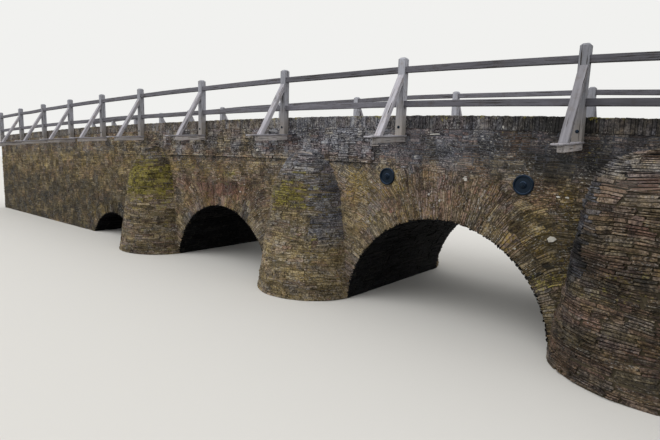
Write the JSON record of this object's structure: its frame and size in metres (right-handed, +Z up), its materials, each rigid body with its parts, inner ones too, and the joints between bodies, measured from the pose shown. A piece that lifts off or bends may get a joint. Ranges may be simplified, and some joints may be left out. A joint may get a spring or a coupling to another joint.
{
  "type": "stone arch bridge",
  "caption": "Rubble stone bridge of round arches with battered round cutwaters, a gentle hump and timber post-and-rail parapets braced by raking struts.",
  "frame": {"origin": "middle of the underside of the middle pier, at the foot of the bridge", "axes": "+X along the roadway, to the right as seen from the front, +Y across the bridge from front to back, +Z up"},
  "size_m": [34.3, 6.41, 4.9142],
  "materials": {
    "wall_stone": "rough thin-bedded rubble",
    "arch_stone": "rough thin arch stones",
    "cutwater_stone": "rough coursed rubble",
    "coping_stone": "weathered, with moss",
    "rubble": "rough fill",
    "road": "worn surfacing",
    "rail_timber": "weathered oak",
    "strut_timber": "silvered oak",
    "beam_timber": "dark weathered oak",
    "iron": "dark painted"
  },
  "bodies": {
    "root": {"pier_1": "wall_stone", "pier_2": "wall_stone", "pier_3": "wall_stone", "abutment_left": "wall_stone", "abutment_right": "wall_stone", "arch_ring_1": "arch_stone", "arch_ring_2": "arch_stone", "arch_ring_3": "arch_stone", "arch_ring_4": "arch_stone", "spandrel_front_1": "wall_stone", "spandrel_front_2": "wall_stone", "spandrel_front_3": "wall_stone", "spandrel_back_1": "wall_stone", "spandrel_back_2": "wall_stone", "spandrel_back_3": "wall_stone", "rubble_fill": "rubble", "road_surface": "road", "coping_front": "coping_stone", "coping_back": "coping_stone", "cutwater_front_1": "cutwater_stone", "cutwater_front_2": "cutwater_stone", "cutwater_front_3": "cutwater_stone", "cutwater_back_1": "cutwater_stone", "cutwater_back_2": "cutwater_stone", "cutwater_back_3": "cutwater_stone", "needle_beams_front": "beam_timber", "needle_beams_back": "beam_timber", "sole_boards_front": "beam_timber", "sole_boards_back": "beam_timber", "posts_front": "rail_timber", "posts_back": "rail_timber", "struts_front": "strut_timber", "struts_back": "strut_timber", "top_rails_front": "rail_timber", "top_rails_back": "rail_timber", "mid_rails_front": "rail_timber", "mid_rails_back": "rail_timber", "tie_plates_front": "iron", "tie_plates_back": "iron", "tie_nuts_front": "iron", "tie_nuts_back": "iron"}
  },
  "joints": []
}
